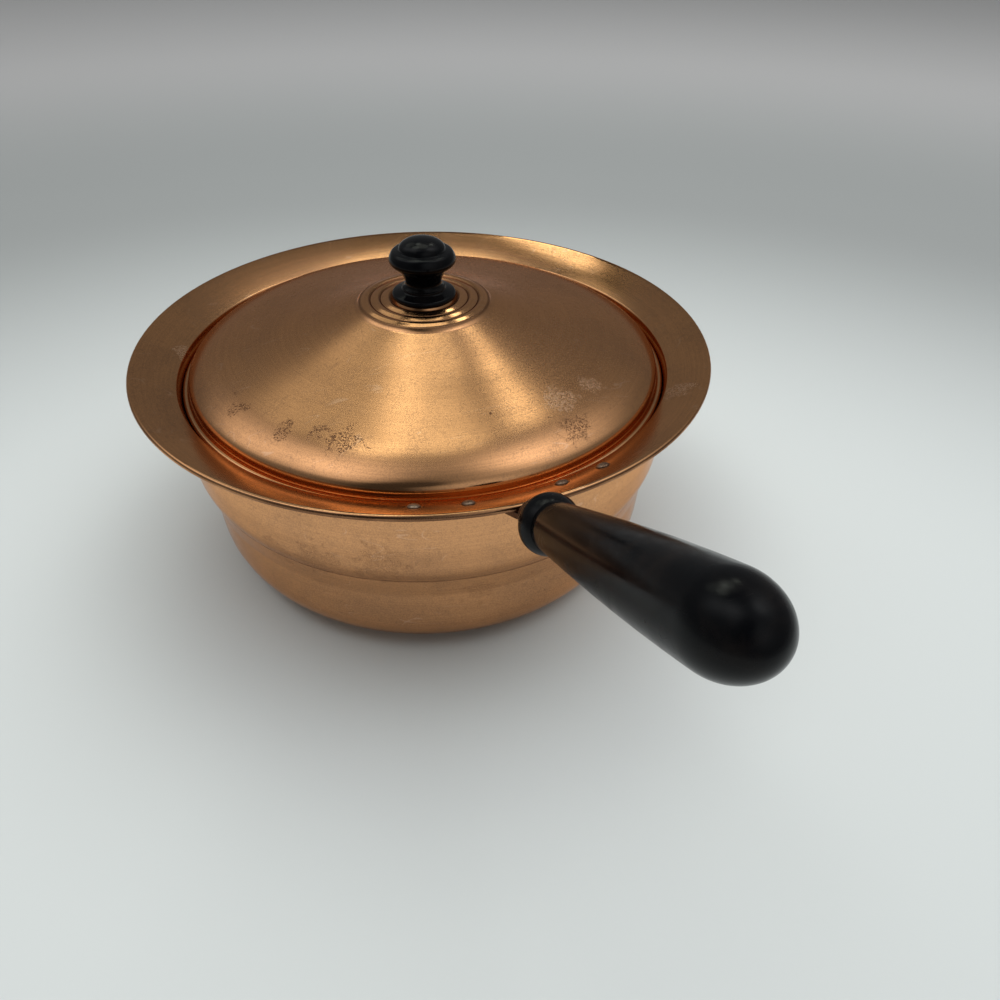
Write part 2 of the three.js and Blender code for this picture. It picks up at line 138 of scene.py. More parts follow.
class PanSizes(bpy.types.PropertyGroup):
    """Sizes of the pan, to the middle of its sheet."""

    sheet: length("Sheet", 0.8, "Thickness of the copper")
    mouth_radius: length("Mouth radius", 130.9, "Radius where the flange starts")
    mouth_height: length("Mouth height", 110.2, "Height where the flange starts")
    wall_inset: length("Wall inset", 7.2, "How far the foot of the wall is inside the mouth")
    base_round: length("Base corner", 31.6, "Radius of the corner round the base")
    shoulder_inset: length("Shoulder inset", 5, "How far the shoulder is inside the mouth")
    shoulder_height: length("Shoulder height", 49.2, "Height of the shoulder")
    shoulder_round: length("Shoulder round", 20, "Radius of the shoulder")
    crease_inset: length("Crease inset", 2.3, "How far the crease is inside the mouth")
    crease_height: length("Crease height", 61.4, "Height of the crease round the body")
    crease_round: length("Crease round", 2.5, "Radius of the crease")
    belly_outset: length("Belly outset", 0.5, "How far the belly stands outside the mouth")
    belly_height: length("Belly height", 68.4, "Height where the belly is full")
    belly_round: length("Belly round", 18, "Radius of the lower corner of the belly")
    belly_top: length("Belly top", 82.8, "Height where the belly starts to draw in")
    belly_top_round: length("Belly top round", 40, "Radius of the upper corner of the belly")
    neck_height: length("Neck height", 100.8, "Height of the narrowest place")
    neck_round: length("Neck round", 6, "Radius of the narrowest place")
    throat_taper: angle("Throat taper", 15, "Taper of the seat that the lid drops into")
    mouth_round: length("Mouth round", 1.2, "Radius of the corner at the mouth")
    curl_radius: length("Curl radius", 1.07, "Radius of the rolled rim")
    curl_wrap: angle("Curl wrap", 290, "How far the rim is rolled round its wire")


class LidSizes(bpy.types.PropertyGroup):
    """Sizes of the lid, to the middle of its sheet, from the centre of its rolled edge."""

    sheet: length("Sheet", 0.8, "Thickness of the copper")
    foot_inset: length("Foot inset", 2, "Inset of the foot of the dome")
    foot_height: length("Foot height", 3.4, "Height of the foot of the dome")
    haunch_inset: length("Haunch inset", 4.6, "Inset of the steep haunch")
    haunch_height: length("Haunch height", 8.2, "Height of the steep haunch")
    crown_inset: length("Crown inset", 17.6, "Inset of the full shoulder")
    crown_height: length("Crown height", 14.6, "Height of the full shoulder")
    hollow_inset: length("Hollow inset", 41.9, "Inset of the hollow above the shoulder")
    hollow_height: length("Hollow height", 19.9, "Height of the hollow above the shoulder")
    cone_inset: length("Cone inset", 66.7, "Inset of the middle of the cone")
    cone_height: length("Cone height", 25.4, "Height of the middle of the cone")
    ring_foot_radius: length("Ring foot radius", 35.3, "Radius of the foot of the rings")
    ring_foot_height: length("Ring foot height", 33.6, "Height of the foot of the rings")
    riser_width: length("Riser width", 1.4, "Width of the step up to the rings")
    riser_height: length("Riser height", 1.7, "Height of the step up to the rings")
    ring_width: length("Ring width", 5.3, "Width of each ring")
    ring_drop: length("Ring drop", 0.35, "Fall across each ring")
    ring_crown: length("Ring crown", 1.0, "Height of each ring's back above its grooves")
    ring_lip: length("Ring lip", 0.22, "Height of each ring's outer edge above its grooves")
    ring_groove: length("Ring groove", 1.1, "Half width of the grooves between the rings")
    hole_radius: length("Screw hole", 2.7, "Radius of the hole for the knob's screw")
    groove_inset: length("Groove inset", 1.7, "Inset of the groove above the rolled edge")
    curl_start: angle("Curl start", 150, "Where the rolled edge starts")
    curl_wrap: angle("Curl wrap", 290, "How far the edge is rolled round its wire")


class BlackSizes(bpy.types.PropertyGroup):
    """Sizes of the turned black knob, collar and grip."""

    knob_base_radius: length("Knob base radius", 16.6, "Radius of the knob's base")
    knob_base_thickness: length("Knob base thickness", 2.9, "Thickness of the knob's base")
    knob_neck_radius: length("Knob neck radius", 9.3, "Radius of the knob's neck")
    knob_bulb_radius: length("Knob bulb radius", 16.9, "Radius of the knob's bulb")
    knob_cap_radius: length("Knob cap radius", 12.6, "Radius of the cap on the bulb")
    knob_cap_rise: length("Knob cap rise", 5.9, "Height of the cap on the bulb")
    knob_groove: length("Knob groove", 0.6, "Depth of the groove round the cap")
    collar_radius: length("Collar radius", 12.3, "Radius at the collar's crest")
    collar_crest: length("Collar crest", 2.8, "Where the collar is fullest")
    collar_back: length("Collar back", 10.4, "Radius of the face towards the pan")
    collar_front: length("Collar front", 9.9, "Radius of the face towards the grip")
    collar_start: length("Collar start", 18, "Where the collar starts along the handle")
    collar_thickness: length("Collar thickness", 9.5, "Length of the collar")
    grip_start: length("Grip start", 27.8, "Where the grip starts along the handle")
    grip_length: length("Grip length", 123.5, "Length of the grip")
    grip_root: length("Grip root", 10, "Radius of the grip at the collar")
    grip_swell: length("Grip swell", 14.3, "Radius of the grip where it is fullest")
    grip_end: length("Grip end", 18.6, "Length of the grip's round end")


class BracketSizes(bpy.types.PropertyGroup):
    """Sizes of the rivets, and of the strip that they hold under the flange."""

    circle_outset: length("Rivet circle", 7.3, "How far the rivets stand outside the mouth")
    inner_angle: angle("Inner rivets", 8.7, "Angle of the inner rivets from the handle")
    outer_angle: angle("Outer rivets", 18, "Angle of the outer rivets from the handle")
    head_radius: length("Head radius", 2.9, "Radius of a rivet's head")
    head_height: length("Head height", 1.3, "Height of a rivet's head")
    shank_radius: length("Shank radius", 1.5, "Radius of a rivet's shank")
    tail_radius: length("Tail radius", 2.6, "Radius of a rivet's hammered tail")
    tail_height: length("Tail height", 1, "Height of a rivet's hammered tail")
    saddle_thickness: length("Saddle thickness", 2.4, "Thickness of the strip under the flange")


class Finishes(bpy.types.PropertyGroup):
    """Colours of the finishes."""

    copper: colour("Copper", (0.76, 0.385, 0.175), "Clean copper")
    copper_dull: colour("Dull copper", (0.44, 0.235, 0.125), "Copper under a film of age")
    # Also the colour of the painted shade in the pan's crease and in the lid's ring grooves, and of
    # the dark bands on the rim and round the rivets.
    copper_stain_and_shade: colour("Stain", (0.16, 0.075, 0.042), "Dark spots of tarnish")
    copper_pale: colour("Pale copper", (0.88, 0.55, 0.36), "Rubbed and scratched copper")
    tin: colour("Tin", (0.62, 0.60, 0.57), "Tinned lining")
    black: colour("Black", (0.0020, 0.0022, 0.0028), "Turned black handle and knob")
    black_worn: colour("Worn black", (0.012, 0.009, 0.008), "Black where it is rubbed")
    dust: colour("Dust", (0.42, 0.40, 0.37), "Dust and dried polish")
    pewter: colour("Rivet metal", (0.44, 0.33, 0.25), "Heads of the rivets")
    iron: colour("Bracket metal", (0.13, 0.085, 0.06), "Darkened bracket")
    steel: colour("Steel", (0.42, 0.40, 0.38), "Wire, screw, stud and washers")
    brass: colour("Brass", (0.60, 0.40, 0.15), "Threaded inserts")


class StageSettings(bpy.types.PropertyGroup):
    """Camera, floor and light."""

    camera_distance: length("Camera distance", 419.5, "From the middle of the rim")
    camera_azimuth: angle("Camera azimuth", -14.4, "Direction of the camera from the handle")
    camera_height: angle("Camera elevation", 27.3, "Elevation of the camera above the rim")
    camera_pan: angle("Camera pan", -5.08, "Turn of the camera away from the dish")
    camera_tilt: angle("Camera tilt", -12.68, "Tilt of the camera below the dish")
    camera_roll: angle("Camera roll", 1.84, "Roll of the camera")
    lens: number("Lens", 27.036, "Focal length in millimetres on a 36 mm sensor")
    floor: colour("Floor", (0.60, 0.625, 0.615), "Floor round the dish")
    # Painted shade: the back floor is a dark band behind the dish, and the far floor pales again
    # past it.
    floor_shade: colour("Back floor", (0.29, 0.30, 0.295), "Floor behind the dish")
    floor_far: colour("Far floor", (0.44, 0.435, 0.43), "Floor far from the dish")
    room: colour("Room", (0.97, 0.99, 1.0), "Light from the room")
    lamps: colour("Lamps", (0.94, 1.0, 0.86), "Light from the small lamps")


def direction(heading, rise):
    """A unit vector from degrees round and above the dish."""
    flat = math.cos(math.radians(rise))
    turn = math.radians(heading)
    return Vector((flat * math.cos(turn), flat * math.sin(turn), math.sin(math.radians(rise))))


# Outlines and turned pieces

def outline(points):
    """A wire through points given as (radius, height, corner radius), with its corners rounded."""
    bm = bmesh.new()
    verts = [bm.verts.new((r, 0, z)) for r, z, corner in points]
    for start, end in zip(verts, verts[1:]):
        bm.edges.new((start, end))
    reaches = [
        corner * math.tan(vert.calc_edge_angle(0) / 2)
        for vert, (r, z, corner) in zip(verts, points)
    ]
    for vert, reach in zip(verts, reaches):
        if reach > 0:
            bmesh.ops.bevel(
                bm, geom=[vert], offset=reach, offset_type="OFFSET", segments=CURVE_STEPS,
                profile=0.5, affect="VERTICES", material=-1, clamp_overlap=False,
            )
    return bm


def curl_end(bm, centre, wrap):
    """Rolls the outermost end of a wire clockwise round a centre, given as radius and height."""
    end = max((v for v in bm.verts if len(v.link_edges) == 1), key=lambda v: v.co.x)
    bmesh.ops.spin(
        bm, geom=[end], cent=(centre.x, 0, centre.y), axis=(0, 1, 0), angle=wrap, steps=CURL_STEPS
    )


def through(points, steps=CURVE_STEPS):
    """Points on a smooth curve through the given points, which are 2-D vectors."""
    curve = []
    ends = [points[0], *points, points[-1]]
    for before, start, end, after in zip(ends, ends[1:], ends[2:], ends[3:]):
        curve += interpolate_bezier(
            start, start + (end - before) / 6, end - (after - start) / 6, end, steps + 1
        )[:-1]
    return [*curve, points[-1]]


def quarter_ellipse(centre, width, height, steps):
    """Points from the side of an ellipse to its top, the first left out."""
    angles = [QUARTER * (i + 1) / steps for i in range(steps)]
    return [centre + Vector((width * math.cos(a), height * math.sin(a))) for a in angles]


def plain(points):
    """Outline points without a corner radius."""
    return [(max(p.x, 0), p.y, 0) for p in points]


def spin_round(bm, steps):
    """Turns a wire round the Z axis into a surface."""
    bmesh.ops.spin(
        bm, geom=bm.verts[:] + bm.edges[:], cent=(0, 0, 0), axis=(0, 0, 1), angle=TURN,
        steps=steps, use_merge=True,
    )
    bmesh.ops.remove_doubles(bm, verts=bm.verts, dist=0.001 * MM)
    bmesh.ops.dissolve_degenerate(bm, edges=bm.edges, dist=0.0005 * MM)
    bmesh.ops.recalc_face_normals(bm, faces=bm.faces)


def add_piece(name, bm, material, body, slot, *nodes, place=None):
    """Makes a piece of a bmesh, on a body, in place of CAD nodes."""
    if place is not None:
        bmesh.ops.transform(bm, matrix=place, verts=bm.verts)
    mesh = bpy.data.meshes.new(name)
    bm.to_mesh(mesh)
    bm.free()
    mesh.shade_smooth()
    mesh.materials.append(material)
    piece = bpy.data.objects.new(name, mesh)
    bpy.context.scene.collection.objects.link(piece)
    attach(piece, body)
    if nodes:
        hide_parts(*nodes)
    return piece


def add_turned(name, points, steps, material, body, slot, *nodes, place):
    """A solid of revolution from a closed outline."""
    bm = outline([*points, points[0]])
    spin_round(bm, steps)
    return add_piece(name, bm, material, body, slot, *nodes, place=place)


def thicken(piece, sheet):
    """Gives a sheet its thickness, half to each side."""
    wall = piece.modifiers.new("Sheet", "SOLIDIFY")
    wall.thickness = sheet
    wall.offset = 0
    wall.use_even_offset = True


def handle_place():
    """Turns the Z axis of a turned piece on to the handle's axis."""
    side = Vector((0, 1, 0))
    across = side.cross(HANDLE_AXIS)
    rotation = Matrix((across, side, HANDLE_AXIS)).transposed()
    return Matrix.Translation(HANDLE_ORIGIN) @ rotation.to_4x4()


def on_flange(radius_out, turn):
    """Place on the flange with Z square to it, at a step out from the mouth and an angle round."""
    pan = bpy.context.scene.dish_pan
    height = pan.mouth_height + radius_out * math.tan(FLANGE_SLOPE)
    return (
        Matrix.Rotation(turn, 4, "Z")
        @ Matrix.Translation((pan.mouth_radius + radius_out, 0, height))
        @ Matrix.Rotation(-FLANGE_SLOPE, 4, "Y")
    )


# Shader nodes

def add(tree, kind, inputs=None, **settings):
    """A node with its settings, its inputs set or linked by name or number."""
    node = tree.nodes.new(kind)
    for key, value in settings.items():
        setattr(node, key, value)
    for key, value in (inputs or {}).items():
        if isinstance(value, bpy.types.NodeSocket):
            tree.links.new(value, node.inputs[key])
        else:
            node.inputs[key].default_value = value
    return node


def maths(tree, operation, *values, clamp=False):
    inputs = dict(enumerate(values))
    return add(tree, "ShaderNodeMath", inputs, operation=operation, use_clamp=clamp).outputs[0]


def multiply(tree, *values):
    return maths(tree, "MULTIPLY", *values)


def multiply_add(tree, *values):
    return maths(tree, "MULTIPLY_ADD", *values)


def maximum(tree, *values):
    return maths(tree, "MAXIMUM", *values)


def vector_maths(tree, operation, *values):
    node = add(tree, "ShaderNodeVectorMath", dict(enumerate(values)), operation=operation)
    scalar = operation in {"LENGTH", "DOT_PRODUCT", "DISTANCE"}
    return node.outputs["Value" if scalar else "Vector"]


def scaled(tree, vector, factor):
    inputs = {0: vector, "Scale": factor}
    return add(tree, "ShaderNodeVectorMath", inputs, operation="SCALE").outputs["Vector"]


def soft_step(tree, value, low, high, to_low=0.0, to_high=1.0):
    """A soft step from one value to another."""
    inputs = {0: value, 1: low, 2: high, 3: to_low, 4: to_high}
    return add(tree, "ShaderNodeMapRange", inputs, interpolation_type="SMOOTHSTEP").outputs[0]


def mix_colour(tree, factor, first, second):
    inputs = {0: factor, 6: first, 7: second}
    return add(tree, "ShaderNodeMix", inputs, data_type="RGBA").outputs[2]


def noise(tree, vector, scale, detail=2.0, roughness=0.5, distortion=0.0):
    inputs = {
        "Vector": vector, "Scale": scale, "Detail": detail, "Roughness": roughness,
        "Distortion": distortion,
    }
    return add(tree, "ShaderNodeTexNoise", inputs).outputs[0]


def new_group(name, inputs, outputs):
    """A node group and its two end nodes. An input without a default is a vector."""
    tree = bpy.data.node_groups.new(name, "ShaderNodeTree")
    for label, default in inputs.items():
        kind = "NodeSocketVector" if default is None else "NodeSocketFloat"
        socket = tree.interface.new_socket(label, in_out="INPUT", socket_type=kind)
        if default is not None:
            socket.default_value = default
    for label in outputs:
        tree.interface.new_socket(label, in_out="OUTPUT", socket_type="NodeSocketFloat")
    return tree, tree.nodes.new("NodeGroupInput"), tree.nodes.new("NodeGroupOutput")


def use_group(tree, name, inputs):
    return add(tree, "ShaderNodeGroup", inputs, node_tree=bpy.data.node_groups[name])


# Soft lights of the room: degrees round and above the dish, sharpness, and strength,
# which is below zero where the room is darker.
GLOWS = (
    (119, 56, 61, 0.10),
    (90, 57, 19, 0.82),
    (87, 68, 60, 1.20),
    (250, 64, 35, 0.95),
    (231, 43, 27, 0.90),
    (275, 69, 20, 0.50),
    (325, 62, 40, -0.70),
    (330, 32, 14, -0.30),
    (141, 68, 36, -0.15),
    (199, 58, 72, -0.45),
    (5, 38, 8, 0.45),
)

# The room's light where there is no glow, and its least.
ROOM_LEVEL = 0.18
ROOM_LEAST = 0.05

# Small round lamps near the dish: degrees round and above a place, distance and radius in
# metres, and brightness.
LAMP_CENTRE = Vector((0.05, 0, 0.125))
LAMP_AIM = Vector((0, 0, 0.12))
LAMPS = {
    "Lamp over": ((204, 66, 0.67), 0.09, 2.1),
    "Lamp top": ((166, 67, 0.50), 0.10, 1.33),
    "Lamp behind": ((176, 54, 1.24), 0.09, 2.5),
    "Lamp left": ((140, 51, 0.78), 0.05, 3.8),
    "Lamp right": ((197, 46, 1.03), 0.177, 0.55),
}

# A broad lamp that lights the floor and shows in no reflection, in metres and watts.
CEILING_PLACE = (-0.1, 0.3, 2.0)
CEILING_SIZE = 3.3
CEILING_POWER = 50

# The floor, in metres: its radius, its palest place, and how far from there it darkens into a
# band of painted shade and pales again.
FLOOR_RADIUS = 6
FLOOR_CENTRE = (0.36, -0.09, 0)
FLOOR_DARKENS = (0.40, 1.0)
FLOOR_PALES = (1.1, 2.0)

# Marks of use: place in millimetres, radius in millimetres and fineness.
LID_STAINS = (
    ((30.5, -102.3, 121.2), 2.5, 1200.0),
    ((42.1, -102.7, 119.9), 5.5, 1000.0),
    ((69.6, -85.8, 120.1), 4.0, 1100.0),
    ((64.0, -83.0, 122.0), 3.0, 1200.0),
    ((76.3, -71.2, 121.8), 4.5, 1100.0),
    ((85.9, -61.0, 121.6), 9.0, 1000.0),
    ((90.5, 4.7, 124.6), 0.9, 300.0),
    ((105.9, 40.5, 119.0), 9.0, 1300.0),
)
LID_RUBS = (
    ((88.7, 40.3, 123.3), 9.0, 900.0),
    ((79.4, 60.3, 122.8), 6.0, 900.0),
)
PAN_STAINS = (
    ((84.0, -97.0, 66.0), 10.0, 2200.0),
    ((100.0, -82.0, 70.0), 12.0, 2200.0),
    ((118.0, -56.0, 74.0), 13.0, 2200.0),
    ((125.8, -12.3, 49.4), 8.0, 2000.0),
    ((124.8, 10.4, 28.7), 1.0, 300.0),
    ((123.1, 26.4, 39.7), 2.5, 1500.0),
)
PAN_RUBS = (
    ((87.0, 107.6, 114.6), 8.0, 900.0),
    ((-38.7, -126.0, 111.2), 6.0, 1200.0),
)


def across_axis(tree, vector):
    """The part of a vector square to the Z axis."""
    return vector_maths(tree, "MULTIPLY", vector, (1, 1, 0))


def build_spun_lines():
    """Fine lines round the Z axis, as a spinning tool leaves them."""
    tree, start, end = new_group(
        "Spun lines",
        {"Vector": None, "Lines": 1500.0, "Wander": 1.5},
        ("Lines", "Bands"),
    )
    vector = start.outputs["Vector"]
    parts = add(tree, "ShaderNodeSeparateXYZ", {0: vector})
    flat = across_axis(tree, vector)
    radius = vector_maths(tree, "LENGTH", flat)
    heading = vector_maths(tree, "NORMALIZE", flat)
    across = add(tree, "ShaderNodeCombineXYZ", {0: radius, 1: parts.outputs[2]}).outputs[0]
    lined = scaled(tree, across, start.outputs["Lines"])
    drift = scaled(tree, heading, start.outputs["Wander"])
    split = add(tree, "ShaderNodeSeparateXYZ", {0: drift})
    turn = maths(tree, "ADD", split.outputs[0], split.outputs[1])
    turned = add(tree, "ShaderNodeCombineXYZ", {2: turn}).outputs[0]
    place = vector_maths(tree, "ADD", lined, turned)
    lines = noise(tree, place, 1.0, detail=3.0, roughness=0.7)
    bands = noise(tree, place, 0.06)
    tree.links.new(lines, end.inputs["Lines"])
    tree.links.new(bands, end.inputs["Bands"])


def build_tarnish():
    """Soft cloudy patches with a ragged edge."""
    inputs = {"Vector": None, "Scale": 20.0, "Cover": 0.5, "Soft": 0.1}
    tree, start, end = new_group("Tarnish", inputs, ("Mask",))
    vector = start.outputs["Vector"]
    cloud = noise(tree, vector, start.outputs["Scale"], detail=6.0, roughness=0.62, distortion=0.4)
    low = maths(tree, "SUBTRACT", 1.0, start.outputs["Cover"])
    edge_low = maths(tree, "SUBTRACT", low, start.outputs["Soft"])
    edge_high = maths(tree, "ADD", low, start.outputs["Soft"])
    tree.links.new(soft_step(tree, cloud, edge_low, edge_high), end.inputs["Mask"])


def build_specks():
    """Small scattered specks, thicker in some places than in others."""
    inputs = {"Vector": None, "Scale": 300.0, "Size": 0.2, "Cover": 0.5}
    tree, start, end = new_group("Specks", inputs, ("Mask",))
    vector = start.outputs["Vector"]
    cells = add(tree, "ShaderNodeTexVoronoi", {"Vector": vector, "Scale": start.outputs["Scale"]})
    pick = add(tree, "ShaderNodeSeparateColor", {0: cells.outputs["Color"]})
    size = multiply(tree, start.outputs["Size"], pick.outputs[0])
    dot = maths(tree, "SUBTRACT", 1.0, soft_step(tree, cells.outputs["Distance"], 0.0, size))
    region = noise(tree, vector, multiply(tree, start.outputs["Scale"], 0.06), detail=3.0)
    low = maths(tree, "SUBTRACT", 1.0, start.outputs["Cover"])
    here = soft_step(tree, region, low, maths(tree, "ADD", low, 0.12))
    chosen = maths(tree, "GREATER_THAN", pick.outputs[1], 0.55)
    mask = multiply(tree, multiply(tree, dot, here), chosen)
    tree.links.new(mask, end.inputs["Mask"])


def build_blemish():
    """A ragged spot of fine dots round a place."""
    inputs = {"Vector": None, "Place": None, "Radius": 0.01, "Fineness": 800.0}
    tree, start, end = new_group("Blemish", inputs, ("Mask",))
    vector = start.outputs["Vector"]
    away = vector_maths(tree, "DISTANCE", vector, start.outputs["Place"])
    away = maths(tree, "DIVIDE", away, start.outputs["Radius"])
    ragged = multiply_add(tree, noise(tree, vector, 200.0, detail=4.0), 3.0, -1.5)
    edge = maths(tree, "ADD", away, ragged)
    area = soft_step(tree, edge, 0.6, 1.1, to_low=1.0, to_high=0.0)
    dots = noise(tree, vector, start.outputs["Fineness"], detail=3.0, roughness=0.7)
    mask = multiply(tree, area, soft_step(tree, dots, 0.46, 0.56))
    tree.links.new(mask, end.inputs["Mask"])


def build_scratches():
    """Fine broken scratches in several directions."""
    inputs = {"Vector": None, "Scale": 60.0, "Cover": 0.4}
    tree, start, end = new_group("Scratches", inputs, ("Mask",))
    vector = start.outputs["Vector"]
    scale = start.outputs["Scale"]
    low = maths(tree, "SUBTRACT", 1.0, start.outputs["Cover"])
    total = None
    for i, turn in enumerate((0.3, 1.25, 2.2)):
        inputs = {
            "Vector": vector, "Rotation": (0.2 * i, 0.35 * i, turn), "Scale": (1.0, 0.05, 1.0)
        }
        turned = add(tree, "ShaderNodeMapping", inputs).outputs[0]
        line = noise(tree, turned, scale, detail=1.0, distortion=0.35)
        thin = maths(tree, "ABSOLUTE", maths(tree, "SUBTRACT", line, 0.5))
        mark = soft_step(tree, thin, 0.0, 0.006, to_low=1.0, to_high=0.0)
        patch = noise(tree, vector, multiply(tree, scale, 0.8 + 0.3 * i))
        here = soft_step(tree, patch, low, maths(tree, "ADD", low, 0.1))
        mark = multiply(tree, mark, here)
        total = mark if total is None else maximum(tree, total, mark)
    tree.links.new(total, end.inputs["Mask"])


def group_mask(tree, group, **inputs):
    """The mask of a shader group."""
    return use_group(tree, group, inputs).outputs["Mask"]


def tarnish(tree, vector, scale, cover, soft):
    return group_mask(tree, "Tarnish", Vector=vector, Scale=scale, Cover=cover, Soft=soft)


def new_material(name):
    """An empty material, with its Principled shader and Object coordinates."""
    material = bpy.data.materials.new(name)
    material.use_nodes = True
    tree = material.node_tree
    shader = tree.nodes["Principled BSDF"]
    vector = add(tree, "ShaderNodeTexCoord").outputs["Object"]
    return material, tree, shader, vector


def set_shader(tree, shader, **values):
    """Sets or links sockets of the shader, named with underscores for spaces."""
    for key, value in values.items():
        socket = shader.inputs[key.replace("_", " ")]
        if isinstance(value, bpy.types.NodeSocket):
            tree.links.new(value, socket)
        else:
            socket.default_value = value


def ring_tangent(tree, vector):
    """Direction round the Z axis, along the spun lines."""
    return vector_maths(tree, "NORMALIZE", vector_maths(tree, "CROSS_PRODUCT", (0, 0, 1), vector))


def bump(tree, height, distance, normal=None):
    inputs = {"Height": height, "Distance": distance, "Strength": 1.0}
    if normal is not None:
        inputs["Normal"] = normal
    return add(tree, "ShaderNodeBump", inputs).outputs[0]


def copper_material(name, dullness, roughness, grazing, stains, stain_strength, rubs, pan=None):
    """Satin spun copper with clouds of age, specks, fine scratches and marks of use."""
    tints = bpy.context.scene.dish_finishes
    material, tree, shader, vector = new_material(name)
    spun = use_group(tree, "Spun lines", {"Vector": vector, "Lines": SPUN_LINES})
    haze = tarnish(tree, vector, scale=14.0, cover=dullness, soft=0.22)
    mottle = tarnish(tree, vector, scale=55.0, cover=0.42, soft=0.18)
    freckle = tarnish(tree, vector, scale=330.0, cover=0.40, soft=0.10)
    grain = soft_step(tree, noise(tree, vector, 1500.0), 0.36, 0.64)
    specks = group_mask(tree, "Specks", Vector=vector, Scale=420.0, Size=0.34, Cover=0.44)
    pits = group_mask(tree, "Specks", Vector=vector, Scale=190.0, Size=0.22, Cover=0.34)
    scratches = group_mask(tree, "Scratches", Vector=vector, Scale=70.0, Cover=0.45)
    film = multiply(tree, mottle, 0.35)
    film = maximum(tree, film, multiply(tree, haze, 0.75))
    film = multiply_add(tree, freckle, 0.25, film)
    film = maths(tree, "ADD", film, multiply_add(tree, grain, 0.5, -0.25), clamp=True)
    base = mix_colour(tree, film, tints.copper, tints.copper_dull)
    line_shade = soft_step(tree, spun.outputs["Lines"], 0.35, 0.65, to_high=0.14)
    base = mix_colour(tree, line_shade, base, tints.copper_stain_and_shade)
    rubbed = multiply(tree, blemishes(tree, vector, rubs), 0.7)
    pale = maximum(tree, multiply(tree, scratches, 0.4), rubbed)
    base = mix_colour(tree, pale, base, tints.copper_pale)
    dark = multiply(tree, maximum(tree, specks, pits), 0.75)
    stained = multiply(tree, blemishes(tree, vector, stains), stain_strength)
    dark = maximum(tree, dark, stained)
    # The pan gets painted shade in its crease and dark bands on its rim and round its rivets; the
    # lid gets painted shade in its ring grooves.
    if pan is not None:
        dark = maximum(tree, dark, crease_shade_mask(tree, vector, pan.crease_height))
        dark = maximum(tree, dark, rim_mask(tree, vector))
        dark = maximum(tree, dark, rivet_mask(tree, vector))
    else:
        dark = maximum(tree, dark, groove_shade_mask(tree, vector))
    base = mix_colour(tree, dark, base, tints.copper_stain_and_shade)
    rough = multiply_add(tree, film, 0.12, roughness)
    rough = multiply_add(tree, dark, 0.25, rough)
    rough = multiply_add(tree, rubbed, 0.2, rough)
    rough = multiply_add(tree, bright_mask(tree, vector, pan), -0.12, rough)
    relief = multiply_add(tree, dark, -1.5, spun.outputs["Lines"])
    relief = multiply_add(tree, scratches, -0.6, relief)
    waves = bump(tree, spun.outputs["Bands"], 0.05 * MM)
    normal = bump(tree, relief, 0.004 * MM, waves)
    if pan is not None:
        base = mix_colour(tree, lining_mask(tree, vector, pan.neck_height), base, tints.tin)
    set_shader(
        tree, shader, Base_Color=base, Roughness=rough, Metallic=1.0, Anisotropic=0.3,
        Anisotropic_Rotation=0.25, Specular_Tint=grazing, Normal=normal,
        Tangent=ring_tangent(tree, vector),
    )
    return material


def blemishes(tree, vector, marks):
    """All the marks of a kind together."""
    total = 0.0
    for place, radius, fineness in marks:
        spot = group_mask(
            tree, "Blemish", Vector=vector, Place=[MM * v for v in place], Radius=radius * MM,
            Fineness=fineness,
        )
        total = maximum(tree, total, spot)
    return total


def flat_radius(tree, vector):
    """Distance from the Z axis."""
    return vector_maths(tree, "LENGTH", across_axis(tree, vector))


def bright_mask(tree, vector, pan):
    """Where hands and cloths keep the copper bright: on rolled edges, and on the lid's rings."""
    radius = flat_radius(tree, vector)
    if pan is not None:
        return soft_step(tree, radius, RIM_WIRE.x - 1.6 * MM, RIM_WIRE.x - 0.8 * MM)
    rings = soft_step(tree, radius, 34 * MM, 38 * MM, to_low=1.0, to_high=0.0)
    edge = soft_step(tree, radius, LID_WIRE.x - 11 * MM, LID_WIRE.x - 5 * MM)
    return maximum(tree, rings, edge)


def rivet_mask(tree, vector):
    """A dark ring round the foot of each rivet's head."""
    sizes = bpy.context.scene.dish_bracket
    mirrored = vector_maths(tree, "ABSOLUTE", vector)
    gap = None
    for turn in (sizes.inner_angle, sizes.outer_angle):
        place = on_flange(sizes.circle_outset, turn).translation
        away = vector_maths(tree, "DISTANCE", mirrored, place)
        gap = away if gap is None else maths(tree, "MINIMUM", gap, away)
    along = add(tree, "ShaderNodeSeparateXYZ", {0: vector}).outputs[0]
    foot_ring = soft_step(tree, gap, 3.0 * MM, 4.0 * MM, to_low=0.8, to_high=0.0)
    return multiply(tree, foot_ring, maths(tree, "GREATER_THAN", along, 0.0))


def groove_shade_mask(tree, vector):
    """Painted shade in the grooves of the lid's rings."""
    lid = bpy.context.scene.dish_lid
    outer = lid.ring_foot_radius - lid.riser_width
    inner = outer - RING_COUNT * lid.ring_width
    radius = flat_radius(tree, vector)
    gap = maths(tree, "PINGPONG", maths(tree, "SUBTRACT", radius, inner), lid.ring_width / 2)
    line = soft_step(tree, gap, 0.2 * MM, 1.1 * MM, to_low=0.8, to_high=0.0)
    line = multiply(tree, line, maths(tree, "LESS_THAN", radius, outer + MM))
    return multiply(tree, line, maths(tree, "GREATER_THAN", radius, inner - MM))


def crease_shade_mask(tree, vector, height):
    """A thin uneven line of painted shade round the body at a height, in its crease."""
    level = add(tree, "ShaderNodeSeparateXYZ", {0: vector}).outputs[2]
    gap = maths(tree, "ABSOLUTE", maths(tree, "SUBTRACT", level, height))
    line = soft_step(tree, gap, 0.15 * MM, 0.75 * MM, to_low=0.8, to_high=0.0)
    uneven = soft_step(tree, noise(tree, vector, 120.0), 0.3, 0.6, to_low=0.5)
    return multiply(tree, line, uneven)


